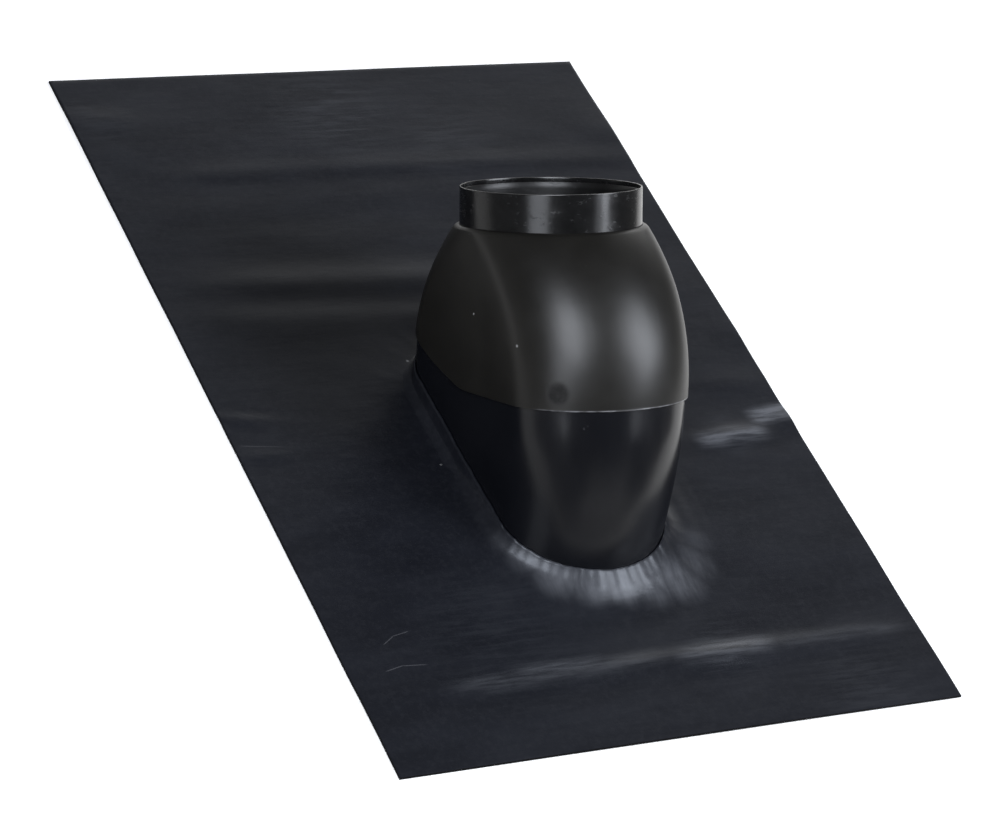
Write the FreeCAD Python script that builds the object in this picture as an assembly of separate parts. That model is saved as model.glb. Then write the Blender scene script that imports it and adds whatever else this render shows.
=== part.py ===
import FreeCAD, Part
import os, math
from FreeCAD import Vector as V

# Pipe flashing boot for a sloping roof: a sheet dressed over the tiles, a
# base shell rising through it, a hood over the base shell and a collar ring
# that takes the pipe.
#
# Row frame, millimetres. The sheet lies flat on Z = 0; +Y runs up the roof
# slope, +X across it, +Z out of the roof. The origin is under the middle of
# the sheet. The shells are laid out in the pipe frame: z along the pipe,
# y towards the ridge of the roof, origin where the pipe's axis meets the
# sheet's top face. That frame is then leaned back by the roof pitch.

# ---- driving dimensions ----
SHEET_W = 480.0            # across the slope
SHEET_L = 700.0            # up the slope
SHEET_T = 2.0
PITCH = 38.66              # roof pitch: angle from the sheet's normal to the pipe
AXIS_Y = -101.9            # where the pipe's axis meets the sheet's top face
COLLAR_TOP = 219.4         # along the pipe, from the sheet's top face
COLLAR_OD = 135.0
COLLAR_ID = 131.2
COLLAR_LEN = 52.0
RIM_STEP = 3.6             # depth of the shallow rebate inside the collar's mouth
RIM_STEP_T = 0.7
HOOD_W = 72.7              # half width over the flat cheeks
HOOD_T = 1.6
HOOD_EQ = 84.0             # height of the widest section
HOOD_FRONT = 118.5         # axis to front at the widest section
HOOD_BACK = 110.0
HOOD_NOSE = 56.0           # depth of the rounded front at the widest section
HOOD_TAIL = 40.0           # depth of the rounded back
TOP_Z = 191.5              # top of the dome, where the collar comes out
TOP_R = 69.3               # front and back reach there; the cheeks are a little wider
TOP_W = 71.4
LIP_ROUND = 2.6            # rounding of the dome's top edge
BOND = 0.2                 # glue line between pieces
OVERLAP = 18.4             # how far the base shell runs up inside the hood
BASE_T = 1.8
FLANGE_T = 1.8
FLANGE_OUT = 26.0          # flange width beyond the wall
UPSTAND_H = 13.0           # height to which the sheet is drawn up the wall

TH = math.radians(PITCH)
S, C = math.sin(TH), math.cos(TH)


def lean(shape):
    """Pipe frame to row frame."""
    s = shape.copy()
    s.rotate(V(0, 0, 0), V(1, 0, 0), -PITCH)
    s.translate(V(0, AXIS_Y, SHEET_T))
    return s


# ---- plan section of the shells, in the pipe frame ----
# Two flat cheeks at x = +-w, joined by half-elliptic ends. The front end
# starts at y = -rf and reaches -lf; the back end starts at rb and reaches lb.
def arc_drop(z, z0, reach, z1, r1):
    """Height-wise circular profile: reach at z0, r1 at z1."""
    d = reach - r1
    h = z1 - z0
    rho = (h * h + d * d) / (2 * d)
    return reach - rho + math.sqrt(max(rho * rho - (z - z0) ** 2, 0.0))


def hood_dims(z, off=0.0):
    k = min(max((z - HOOD_EQ) / (TOP_Z - HOOD_EQ), 0.0), 1.0)
    lf = arc_drop(z, HOOD_EQ, HOOD_FRONT, TOP_Z, TOP_R)
    lb = arc_drop(z, HOOD_EQ, HOOD_BACK, TOP_Z, TOP_R)
    bf = HOOD_NOSE + (TOP_R - 0.6 - HOOD_NOSE) * k * k
    bb = HOOD_TAIL + (TOP_R - 0.6 - HOOD_TAIL) * k * k
    m = min(max((z - 140.0) / (TOP_Z - 140.0), 0.0), 1.0)
    w = HOOD_W + (TOP_W - HOOD_W) * m * m * (3 - 2 * m)
    return w - off, lf - off, lf - bf, lb - off, lb - bb


# base shell below the hood: front reach, start of the rounded front, half width
BASE_Z = [-110.0, -75.0, -45.0, -20.0, 10.0, 40.0, 70.0]
BASE_LF = [59.0, 77.0, 90.0, 99.0, 108.0, 114.0, 116.4]
BASE_RF = [0.0, 15.0, 30.0, 40.0, 50.0, 58.0, 62.2]
BASE_W = [67.5, 68.1, 68.6, 69.0, 69.6, 70.2, 70.7]
BASE_LB = [100.0, 100.0, 100.5, 101.5, 103.0, 104.8, 107.0]
BASE_RB = [70.0, 70.0, 70.0, 70.0, 70.0, 70.0, 70.0]


def table(xs, ys, x):
    """Smooth monotone interpolation (cubic Hermite, averaged slopes)."""
    n = len(xs)
    i = min(max(sum(1 for q in xs if q <= x) - 1, 0), n - 2)

    def slope(j):
        if j == 0:
            return (ys[1] - ys[0]) / (xs[1] - xs[0])
        if j == n - 1:
            return (ys[-1] - ys[-2]) / (xs[-1] - xs[-2])
        return (ys[j + 1] - ys[j - 1]) / (xs[j + 1] - xs[j - 1])
    h = xs[i + 1] - xs[i]
    t = (x - xs[i]) / h
    a, b = slope(i) * h, slope(i + 1) * h
    return ((2 * t ** 3 - 3 * t * t + 1) * ys[i] + (t ** 3 - 2 * t * t + t) * a
            + (-2 * t ** 3 + 3 * t * t) * ys[i + 1] + (t ** 3 - t * t) * b)


def base_dims(z, off=0.0):
    """Outer section of the base shell; inside the hood it follows the hood."""
    g = HOOD_T + 0.35
    if z >= HOOD_EQ:
        w, lf, rf, lb, rb = hood_dims(z)
        return w - g - off, lf - g - off, rf, lb - g - off, rb
    zz = min(z, 70.0)
    v = [table(BASE_Z, q, zz) for q in (BASE_W, BASE_LF, BASE_RF, BASE_LB, BASE_RB)]
    if z > 70.0:
        u = (z - 70.0) / (HOOD_EQ - 70.0)
        u = u * u * (3 - 2 * u)
        w, lf, rf, lb, rb = hood_dims(HOOD_EQ)
        e = [w - g, lf - g, rf, lb - g, rb]
        v = [p + (q - p) * u for p, q in zip(v, e)]
    w, lf, rf, lb, rb = v
    return w - off, lf - off, rf, lb - off, rb


NOSE_N = 22
CHEEK_N = 8


def section(dims, z):
    """One closed smooth curve: round the front, up a cheek, round the back."""
    w, lf, rf, lb, rb = dims
    pts = []
    for i in range(NOSE_N + 1):                   # +x cheek, front, -x cheek
        t = math.pi * i / NOSE_N
        pts.append(V(w * math.cos(t), -(rf + (lf - rf) * math.sin(t)), z))
    for i in range(1, CHEEK_N):
        pts.append(V(-w, -rf + (rb + rf) * i / CHEEK_N, z))
    for i in range(NOSE_N + 1):                   # -x cheek, back, +x cheek
        t = math.pi * i / NOSE_N
        pts.append(V(-w * math.cos(t), rb + (lb - rb) * math.sin(t), z))
    for i in range(1, CHEEK_N):
        pts.append(V(w, rb - (rb + rf) * i / CHEEK_N, z))
    c = Part.BSplineCurve()
    c.interpolate(Points=pts, PeriodicFlag=True)
    return Part.Wire([c.toShape()])


def loft(fn, zs, off=0.0):
    return Part.makeLoft([section(fn(z, off), z) for z in zs], True, False)


# ---- the hood's lower rim, seen from the side ----
# Level round the front and along the cheeks to just behind the axis, then a
# soft corner, then up and back parallel to the roof.
RIM_FRONT = (-150.0, 67.1)
RIM_LEVEL = (2.0, 71.9)
RIM_BEND = [(12.0, 73.3), (22.0, 76.9), (34.0, 81.6), (46.0, 86.6), (58.0, 92.9), (69.0, 99.6)]
RIM_BACK = (160.0, 99.6 + 91.0 * 0.79)


def above_rim(dz=0.0, top=320.0, half=130.0):
    """Everything above the rim line: its outline in (y, z) extruded across x."""
    def p(yz):
        return V(-half, yz[0], yz[1] + dz)
    bend = Part.BSplineCurve()
    bend.interpolate(Points=[p(q) for q in [RIM_LEVEL] + RIM_BEND],
                     InitialTangent=V(0, 152.0, 4.8), FinalTangent=V(0, 1.0, 0.79))
    f, l, r = p(RIM_FRONT), p(RIM_LEVEL), p(RIM_BACK)
    e = p(RIM_BEND[-1])
    t1, t0 = V(-half, RIM_BACK[0], top), V(-half, RIM_FRONT[0], top)
    w = Part.Wire([Part.LineSegment(f, l).toShape(), bend.toShape(), Part.LineSegment(e, r).toShape(),
                   Part.LineSegment(r, t1).toShape(), Part.LineSegment(t1, t0).toShape(),
                   Part.LineSegment(t0, f).toShape()])
    return Part.Face(w).extrude(V(2 * half, 0, 0))


# ---- hood ----
Z_H = [50.0, 58.0, 67.0, 76.0, 84.0, 94.0, 104.0, 114.0, 124.0, 134.0, 144.0, 153.0, 162.0, 170.0, 178.0, 185.0]


def dome(off, round_):
    top = TOP_Z - off
    d = loft(hood_dims, Z_H + [top], off)
    edge = [e for e in d.Edges if e.BoundBox.ZMin > top - 0.5]
    return d.makeFillet(round_, edge)


above = above_rim()
hood = dome(0.0, LIP_ROUND).common(above).cut(dome(HOOD_T, LIP_ROUND - HOOD_T))
hood = hood.cut(Part.makeCylinder(COLLAR_OD / 2 + BOND, 40, V(0, 0, TOP_Z - 20)))

# ---- collar ring ----
ro, ri = COLLAR_OD / 2, COLLAR_ID / 2
zb, zt = COLLAR_TOP - COLLAR_LEN, COLLAR_TOP
ring = Part.makeCylinder(ro, COLLAR_LEN, V(0, 0, zb))
ring = ring.cut(Part.makeCylinder(ri, COLLAR_LEN + 2, V(0, 0, zb - 1)))
ring = ring.cut(Part.makeCylinder(ri + RIM_STEP_T, RIM_STEP + 1, V(0, 0, zt - RIM_STEP)))
rims = [e for e in ring.Edges if abs(e.BoundBox.ZMin - zt) < 1e-6 and abs(e.BoundBox.ZMax - zt) < 1e-6]
collar = ring.makeFillet(0.35, rims)

# ---- base shell, walls in the pipe frame ----
Z_B = [-110.0, -90.0, -70.0, -50.0, -30.0, -10.0, 10.0, 30.0, 50.0, 62.0, 70.0, 77.0, HOOD_EQ, 98.0, 112.0, 126.0,
       140.0, 150.0, 160.0]
b_outer = loft(base_dims, Z_B)
b_inner = loft(base_dims, Z_B, BASE_T)
cap = above_rim(OVERLAP)
b_outer_cut = b_outer.cut(cap)
assert b_outer_cut.Volume < 0.9 * b_outer.Volume
b_outer_cut = lean(b_outer_cut)
b_inner_row = lean(b_inner)


# ---- outline of the base wall at a level above the floor, in the row frame ----
def wall_outline(h, d, n=26):
    """Points where the wall's outer face crosses the level h above the sheet's
    top face, moved out by d."""
    def solve(kind, t):
        lo, hi = -109.0, 160.0
        def at(z):
            w, lf, rf, lb, rb = base_dims(z)
            if kind == 0:
                x = w * math.cos(t)
                y = -(rf + (lf - rf) * math.sin(t))
            elif kind == 1:
                x = -w * math.cos(t)
                y = rb + (lb - rb) * math.sin(t)
            return x, y
        for _ in range(60):
            mid = 0.5 * (lo + hi)
            x, y = at(mid)
            if -y * S + mid * C > h:
                hi = mid
            else:
                lo = mid
        x, y = at(lo)
        return x, y * C + lo * S
    pts = []
    for i in range(n + 1):                        # round the front, +x to -x
        pts.append(solve(0, math.pi * i / n))
    m = 10
    f_end, b_start = pts[-1], solve(1, 0.0)
    for i in range(1, m):                         # along the -x cheek
        k = i / float(m)
        pts.append((f_end[0] + (b_start[0] - f_end[0]) * k, f_end[1] + (b_start[1] - f_end[1]) * k))
    for i in range(n + 1):                        # round the back, -x to +x
        pts.append(solve(1, math.pi * i / n))
    b_end, f_start = pts[-1], pts[0]
    for i in range(1, m):
        k = i / float(m)
        pts.append((b_end[0] + (f_start[0] - b_end[0]) * k, b_end[1] + (f_start[1] - b_end[1]) * k))
    out = []
    N = len(pts)
    for i in range(N):
        ax, ay = pts[i - 1]
        bx, by = pts[(i + 1) % N]
        tx, ty = bx - ax, by - ay
        L = math.hypot(tx, ty)
        # the run is +x, front, -x, back: its outward side is on the right of -t
        nx, ny = -ty / L, tx / L
        if nx * pts[i][0] + ny * (pts[i][1] - 15.0) < 0:
            nx, ny = -nx, -ny
        out.append(V(pts[i][0] + nx * d, pts[i][1] + ny * d + AXIS_Y, h + SHEET_T))
    return out


def outline_wire(h, d):
    c = Part.BSplineCurve()
    c.interpolate(Points=wall_outline(h, d), PeriodicFlag=True)
    return Part.Wire([c.toShape()])


def mound(levels):
    return Part.makeLoft([outline_wire(h, d) for h, d in levels], True, False)


# foot of the base shell: flange plate and the cove that joins it to the wall
zf = FLANGE_T - SHEET_T                           # flange's top face, from the sheet's top face
plate_w = outline_wire(-SHEET_T, FLANGE_OUT)
plate = Part.Face(plate_w).extrude(V(0, 0, FLANGE_T))
foot = mound([(zf, 15.0), (zf + 1.2, 9.0), (zf + 3.2, 5.0), (zf + 6.0, 2.4), (zf + 9.0, 1.0), (zf + 12.0, 0.35)])
below = Part.makeBox(800, 1200, 400, V(-400, -600, -400))
solid_base = b_outer_cut.cut(below).fuse([plate, foot])
base = solid_base.cut(b_inner_row).removeSplitter()

# ---- flashing sheet: flat, dressed over the flange and drawn up the wall ----
slab = Part.makeBox(SHEET_W, SHEET_L, SHEET_T, V(-SHEET_W / 2, -SHEET_L / 2, 0))
corners = [e for e in slab.Edges if abs(e.BoundBox.ZLength - SHEET_T) < 1e-6]
slab = slab.makeFillet(0.6, corners)
rise = mound([(-0.3, 46.0), (0.5, 36.0), (1.55, FLANGE_OUT + 1.0), (2.0, 18.0), (3.2, 11.5), (5.6, 7.0),
              (8.6, 4.4), (UPSTAND_H, 2.5), (UPSTAND_H + 4.0, 1.2)])
fit_foot = mound([(zf - 0.02, 15.0 + BOND), (zf + 1.2 + BOND, 9.0 + BOND), (zf + 3.2 + BOND, 5.0 + BOND),
                  (zf + 6.0 + BOND, 2.4 + BOND), (zf + 9.0 + BOND, 1.0 + BOND), (zf + 14.0, 0.35 + BOND)])
pocket = Part.Face(outline_wire(-SHEET_T - 1.0, FLANGE_OUT + 0.6)).extrude(V(0, 0, FLANGE_T + 1.0))
fit_wall = lean(loft(base_dims, [z for z in Z_B if z < 140], -BOND))
trim = Part.makeBox(600, 800, 60, V(-300, -400, SHEET_T + UPSTAND_H))
sheet = slab.fuse(rise).cut(pocket).cut(fit_foot).cut(fit_wall).cut(trim)
parts_ = sorted(sheet.Solids, key=lambda s: -s.Volume)
sheet = parts_[0].removeSplitter()

pieces = {
    "flashing_sheet": sheet,
    "base_shell": base,
    "hood": lean(hood),
    "pipe_collar": lean(collar),
}

os.makedirs("parts", exist_ok=True)
for name, shape in pieces.items():
    solids = shape.Solids
    assert len(solids) == 1, (name, len(solids))
    solid = solids[0]
    assert solid.isValid(), name
    solid.exportStep("parts/%s.step" % name)
    bb = solid.BoundBox
    print("%-16s volume %8.1f cm3  x %.1f..%.1f  y %.1f..%.1f  z %.1f..%.1f" % (
        name, solid.Volume / 1000.0, bb.XMin, bb.XMax, bb.YMin, bb.YMax, bb.ZMin, bb.ZMax))
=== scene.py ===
import bpy
import math
import numpy as np
from mathutils import Matrix, Vector


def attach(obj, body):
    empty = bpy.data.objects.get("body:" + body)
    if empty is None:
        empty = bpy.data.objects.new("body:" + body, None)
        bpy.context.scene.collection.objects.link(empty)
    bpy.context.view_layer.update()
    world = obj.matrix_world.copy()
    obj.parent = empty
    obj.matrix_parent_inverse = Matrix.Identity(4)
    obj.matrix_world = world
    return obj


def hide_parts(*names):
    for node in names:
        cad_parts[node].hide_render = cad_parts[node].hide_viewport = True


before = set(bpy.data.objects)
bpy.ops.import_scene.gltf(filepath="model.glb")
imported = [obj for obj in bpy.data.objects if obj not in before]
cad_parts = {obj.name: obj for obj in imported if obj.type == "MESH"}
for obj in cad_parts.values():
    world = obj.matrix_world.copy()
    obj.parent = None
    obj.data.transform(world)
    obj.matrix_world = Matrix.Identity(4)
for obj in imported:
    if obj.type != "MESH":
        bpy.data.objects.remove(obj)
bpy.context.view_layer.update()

# ---------------------------------------------------------------- dimensions
# Millimetres here, metres once a mesh is made. The shells are laid out in the
# pipe frame (z along the pipe, y towards the ridge) and leaned back by the
# roof pitch, as in the construction.
SHEET_W, SHEET_L, SHEET_T = 480.0, 700.0, 2.0
PITCH, AXIS_Y = 38.66, -101.9
COLLAR_TOP, COLLAR_OD, COLLAR_ID, COLLAR_LEN = 219.4, 135.0, 131.2, 52.0
RIM_STEP, RIM_STEP_T = 3.6, 0.7
HOOD_W, HOOD_T, HOOD_EQ = 72.7, 1.6, 84.0
HOOD_FRONT, HOOD_BACK, HOOD_NOSE, HOOD_TAIL = 118.5, 110.0, 56.0, 40.0
TOP_Z, TOP_R, TOP_W, LIP_ROUND = 191.5, 69.3, 71.4, 2.6
OVERLAP, BASE_T, FLANGE_T = 18.4, 1.8, 1.8
UPSTAND_H = 13.0
S, C = math.sin(math.radians(PITCH)), math.cos(math.radians(PITCH))


def lean(p):
    """Pipe frame to row frame, arrays of points."""
    x, y, z = p[..., 0], p[..., 1], p[..., 2]
    return np.stack([x, y * C + z * S + AXIS_Y, -y * S + z * C + SHEET_T], -1)


# ---------------------------------------------------------------- plan section
def arc_drop(z, z0, reach, z1, r1):
    d, h = reach - r1, z1 - z0
    rho = (h * h + d * d) / (2 * d)
    return reach - rho + np.sqrt(np.maximum(rho * rho - (z - z0) ** 2, 0.0))


def hood_dims(z, off=0.0):
    z = np.asarray(z, float)
    k = np.clip((z - HOOD_EQ) / (TOP_Z - HOOD_EQ), 0.0, 1.0)
    lf = arc_drop(z, HOOD_EQ, HOOD_FRONT, TOP_Z, TOP_R)
    lb = arc_drop(z, HOOD_EQ, HOOD_BACK, TOP_Z, TOP_R)
    bf = HOOD_NOSE + (TOP_R - 0.6 - HOOD_NOSE) * k * k
    bb = HOOD_TAIL + (TOP_R - 0.6 - HOOD_TAIL) * k * k
    m = np.clip((z - 140.0) / (TOP_Z - 140.0), 0.0, 1.0)
    w = HOOD_W + (TOP_W - HOOD_W) * m * m * (3 - 2 * m)
    return w - off, lf - off, lf - bf, lb - off, lb - bb


BASE_Z = np.array([-110.0, -75.0, -45.0, -20.0, 10.0, 40.0, 70.0])
BASE_LF = np.array([59.0, 77.0, 90.0, 99.0, 108.0, 114.0, 116.4])
BASE_RF = np.array([0.0, 15.0, 30.0, 40.0, 50.0, 58.0, 62.2])
BASE_W = np.array([67.5, 68.1, 68.6, 69.0, 69.6, 70.2, 70.7])
BASE_LB = np.array([100.0, 100.0, 100.5, 101.5, 103.0, 104.8, 107.0])
BASE_RB = np.full(7, 70.0)


def table(xs, ys, x, first=None, last=None):
    """Smooth cubic Hermite interpolation with averaged slopes."""
    x = np.asarray(x, float)
    sl = np.empty(len(xs))
    sl[1:-1] = (ys[2:] - ys[:-2]) / (xs[2:] - xs[:-2])
    sl[0] = (ys[1] - ys[0]) / (xs[1] - xs[0]) if first is None else first
    sl[-1] = (ys[-1] - ys[-2]) / (xs[-1] - xs[-2]) if last is None else last
    i = np.clip(np.searchsorted(xs, x, side="right") - 1, 0, len(xs) - 2)
    h = xs[i + 1] - xs[i]
    t = (x - xs[i]) / h
    a, b = sl[i] * h, sl[i + 1] * h
    return ((2 * t ** 3 - 3 * t * t + 1) * ys[i] + (t ** 3 - 2 * t * t + t) * a
            + (-2 * t ** 3 + 3 * t * t) * ys[i + 1] + (t ** 3 - t * t) * b)


def base_dims(z, off=0.0):
    z = np.asarray(z, float)
    g = HOOD_T + 0.35
    w, lf, rf, lb, rb = hood_dims(np.maximum(z, HOOD_EQ))
    top = [w - g, lf - g, rf, lb - g, rb]
    zz = np.minimum(z, 70.0)
    low = [table(BASE_Z, q, zz) for q in (BASE_W, BASE_LF, BASE_RF, BASE_LB, BASE_RB)]
    u = np.clip((z - 70.0) / (HOOD_EQ - 70.0), 0.0, 1.0)
    u = u * u * (3 - 2 * u)
    w, lf, rf, lb, rb = [p + (q - p) * u for p, q in zip(low, top)]
    return w - off, lf - off, rf, lb - off, rb


class Around:
    """Samples round the section: the front, a cheek, the back, a cheek."""

    def __init__(self, nose, cheek, back):
        kind, t = [], []
        for i in range(nose):
            kind.append(0); t.append(math.pi * i / nose)
        for i in range(cheek):
            kind.append(1); t.append(i / cheek)
        for i in range(back):
            kind.append(2); t.append(math.pi * i / back)
        for i in range(cheek):
            kind.append(3); t.append(i / cheek)
        self.kind, self.t = np.array(kind), np.array(t)
        self.n = len(kind)

    def at(self, dims):
        w, lf, rf, lb, rb = [np.broadcast_to(q, self.n) for q in dims]
        k, t = self.kind, self.t
        x = np.where(k == 0, w * np.cos(t), np.where(k == 1, -w, np.where(k == 2, -w * np.cos(t), w)))
        y = np.where(k == 0, -(rf + (lf - rf) * np.sin(t)),
                     np.where(k == 1, -rf + (rb + rf) * t,
                              np.where(k == 2, rb + (lb - rb) * np.sin(t), rb - (rb + rf) * t)))
        return self.soften(x), self.soften(y)

    def soften(self, q):
        """Spread the step in curvature between an arc and a cheek, as a moulding does."""
        for _ in range(4):
            q = (20 * q + 15 * (np.roll(q, 1) + np.roll(q, -1)) + 6 * (np.roll(q, 2) + np.roll(q, -2)) + np.roll(q, 3) + np.roll(q, -3)) / 64.0
        return q

    def point(self, fn, z, off=0.0):
        z = np.broadcast_to(np.asarray(z, float), self.n)
        x, y = self.at(fn(z, off))
        return np.stack([x, y, z], -1)

    def level(self, fn, h, off=0.0):
        """Where the wall crosses the plane h above the sheet's top face, in the row frame's X and Y."""
        lo, hi = np.full(self.n, -109.5), np.full(self.n, 170.0)
        for _ in range(46):
            mid = (lo + hi) / 2
            x, y = self.at(fn(mid, off))
            up = -y * S + mid * C > h
            hi = np.where(up, mid, hi)
            lo = np.where(up, lo, mid)
        x, y = self.at(fn(lo, off))
        return np.stack([x, y * C + lo * S + AXIS_Y], -1), lo


def outward(p):
    """Unit outward normals of a closed plane outline."""
    t = np.roll(p, -1, 0) - np.roll(p, 1, 0)
    n = np.stack([-t[:, 1], t[:, 0]], -1)
    n /= np.linalg.norm(n, axis=1)[:, None]
    return n if (n * (p - p.mean(0))).sum() > 0 else -n


# ---------------------------------------------------------------- rim of the hood
RIM_Y = np.array([2.0, 12.0, 22.0, 34.0, 46.0, 58.0, 69.0])
RIM_Z = np.array([71.9, 73.3, 76.9, 81.6, 86.6, 92.9, 99.6])


def rim_z(y):
    front = 67.1 + (y + 150.0) * 4.8 / 152.0
    back = 99.6 + (y - 69.0) * 0.79
    return np.where(y < 2.0, front, np.where(y > 69.0, back, table(RIM_Y, RIM_Z, np.clip(y, 2.0, 69.0), 4.8 / 152.0, 0.79)))


def rim_level(ring, fn, off=0.0, dz=0.0):
    z = np.full(ring.n, 80.0)
    for _ in range(80):
        x, y = ring.at(fn(z, off))
        z = 0.4 * z + 0.6 * (rim_z(y) + dz)
    return z


# ---------------------------------------------------------------- mesh making
def obj_from(name, verts_mm, faces, material, sharp=40.0):
    v = np.asarray(verts_mm, float) / 1000.0
    me = bpy.data.meshes.new(name)
    me.from_pydata(v.tolist(), [], faces)
    me.validate()
    me.update()
    me.polygons.foreach_set("use_smooth", [True] * len(me.polygons))
    if sharp:
        me.set_sharp_from_angle(angle=math.radians(sharp))
    ob = bpy.data.objects.new(name, me)
    bpy.context.scene.collection.objects.link(ob)
    me.materials.append(material)
    return ob


def ring_faces(R, N, loop):
    """Quads between rings of N points; loop joins the last ring to the first."""
    faces = []
    for r in range(R if loop else R - 1):
        a, b = r * N, ((r + 1) % R) * N
        for i in range(N):
            j = (i + 1) % N
            faces.append((a + i, a + j, b + j, b + i))
    return faces


def loop_object(name, rings, material, sharp=40.0):
    """A closed skin from rings that run round the wall's section."""
    rings = np.asarray(rings)
    R, N = rings.shape[:2]
    v = rings.reshape(-1, 3)
    f = ring_faces(R, N, True)
    q = np.array(f)
    a, b, c, d = v[q[:, 0]], v[q[:, 1]], v[q[:, 2]], v[q[:, 3]]
    vol = (a * np.cross(b, c)).sum() / 6 + (a * np.cross(c, d)).sum() / 6
    if vol < 0:
        f = [t[::-1] for t in f]
    return obj_from(name, v, f, material, sharp)


def wobble(s, seed, waves):
    """Deterministic sum of sines along s: (wavelength, amplitude) pairs."""
    out = np.zeros_like(s, dtype=float)
    rng = np.random.RandomState(seed)
    for lam, amp in waves:
        out += amp * np.sin(2 * math.pi * (s / lam + rng.rand()))
    return out


# ---------------------------------------------------------------- node helpers
class Mat:
    def __init__(self, name):
        self.m = bpy.data.materials.new(name)
        self.m.use_nodes = True
        self.t = self.m.node_tree
        self.t.nodes.clear()
        self.out = self.t.nodes.new("ShaderNodeOutputMaterial")
        self.b = self.t.nodes.new("ShaderNodeBsdfPrincipled")
        self.t.links.new(self.b.outputs[0], self.out.inputs[0])
        self.co = self.t.nodes.new("ShaderNodeTexCoord").outputs["Object"]

    def put(self, sock, v):
        if hasattr(v, "is_output"):
            self.t.links.new(v, sock)
        elif isinstance(v, (int, float)):
            sock.default_value = v
        else:
            v = tuple(v)
            sock.default_value = v if len(v) == len(sock.default_value) else v + (1.0,)

    def math(self, op, a, b=0.0, c=None, clamp=False):
        n = self.t.nodes.new("ShaderNodeMath")
        n.operation, n.use_clamp = op, clamp
        self.put(n.inputs[0], a)
        self.put(n.inputs[1], b)
        if c is not None:
            self.put(n.inputs[2], c)
        return n.outputs[0]

    def vec(self, op, a, b=None):
        n = self.t.nodes.new("ShaderNodeVectorMath")
        n.operation = op
        self.put(n.inputs[0], a)
        if b is not None:
            self.put(n.inputs[1], b)
        return n.outputs["Value"] if op in ("LENGTH", "DISTANCE", "DOT_PRODUCT") else n.outputs[0]

    def map(self, loc=(0, 0, 0), rot=(0, 0, 0), scale=(1, 1, 1), src=None):
        n = self.t.nodes.new("ShaderNodeMapping")
        n.vector_type = "POINT"
        self.put(n.inputs["Vector"], src or self.co)
        n.inputs["Location"].default_value = loc
        n.inputs["Rotation"].default_value = rot
        n.inputs["Scale"].default_value = scale
        return n.outputs[0]

    def noise(self, v, scale, detail=3.0, rough=0.5, dist=0.0):
        n = self.t.nodes.new("ShaderNodeTexNoise")
        self.put(n.inputs["Vector"], v)
        n.inputs["Scale"].default_value = scale
        n.inputs["Detail"].default_value = detail
        n.inputs["Roughness"].default_value = rough
        n.inputs["Distortion"].default_value = dist
        return n.outputs[0]

    def fit(self, v, a, b, lo, hi, smooth=False):
        n = self.t.nodes.new("ShaderNodeMapRange")
        n.interpolation_type = "SMOOTHSTEP" if smooth else "LINEAR"
        n.clamp = True
        for s, x in zip(n.inputs, (v, a, b, lo, hi)):
            self.put(s, x)
        return n.outputs[0]

    def mix(self, f, a, b):
        n = self.t.nodes.new("ShaderNodeMix")
        n.data_type = "RGBA"
        self.put(n.inputs[0], f)
        self.put(n.inputs[6], a)
        self.put(n.inputs[7], b)
        return n.outputs[2]

    def specks(self, scale, radius, keep, src=None):
        """Sparse small dots: one in a few cells holds a dot of that radius, in cells."""
        n = self.t.nodes.new("ShaderNodeTexVoronoi")
        self.put(n.inputs["Vector"], src or self.co)
        n.inputs["Scale"].default_value = scale
        sep = self.t.nodes.new("ShaderNodeSeparateColor")
        self.t.links.new(n.outputs["Color"], sep.inputs[0])
        size = self.fit(sep.outputs[1], 0.0, 1.0, radius * 0.35, radius)
        dot = self.math("LESS_THAN", n.outputs["Distance"], size)
        return self.math("MULTIPLY", dot, self.math("GREATER_THAN", sep.outputs[0], 1.0 - keep))

    def blob(self, at_mm, r_mm, soft=0.6):
        """1 inside a ball round a point, falling to 0 at its edge."""
        d = self.vec("DISTANCE", self.co, tuple(q / 1000.0 for q in at_mm))
        return self.fit(d, r_mm / 1000.0 * (1 - soft), r_mm / 1000.0, 1.0, 0.0, True)

    def line(self, p_mm, q_mm, half_mm, soft=0.5):
        """1 on a straight mark between two points, fading to its ends and sides."""
        p, q = Vector(p_mm) / 1000.0, Vector(q_mm) / 1000.0
        mid, d = (p + q) / 2, (q - p)
        L = d.length / 2
        d.normalize()
        rel = self.vec("SUBTRACT", self.co, tuple(mid))
        along = self.vec("DOT_PRODUCT", rel, tuple(d))
        length = self.vec("LENGTH", rel)
        off = self.math("SQRT", self.math("MAXIMUM", self.math("SUBTRACT", self.math("MULTIPLY", length, length),
                                                              self.math("MULTIPLY", along, along)), 0.0))
        a = self.fit(self.math("ABSOLUTE", along), L * 0.5, L, 1.0, 0.0, True)
        b = self.fit(off, half_mm / 1000.0 * (1 - soft), half_mm / 1000.0, 1.0, 0.0, True)
        return self.math("MULTIPLY", a, b)

    def bump(self, height, strength, distance, normal=None):
        n = self.t.nodes.new("ShaderNodeBump")
        n.inputs["Strength"].default_value = strength
        n.inputs["Distance"].default_value = distance
        self.put(n.inputs["Height"], height)
        if normal is not None:
            self.put(n.inputs["Normal"], normal)
        return n.outputs[0]


PIPE_TILT = (-math.radians(PITCH), 0.0, 0.0)


def pipe_coords(m, scale=(1, 1, 1)):
    """Object coordinates turned so that z runs along the pipe."""
    n = m.t.nodes.new("ShaderNodeVectorRotate")
    n.rotation_type = "X_AXIS"
    m.put(n.inputs["Vector"], m.vec("SUBTRACT", m.co, (0.0, AXIS_Y / 1000.0, SHEET_T / 1000.0)))
    n.inputs["Angle"].default_value = math.radians(PITCH)
    return m.map(scale=scale, src=n.outputs[0])


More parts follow.
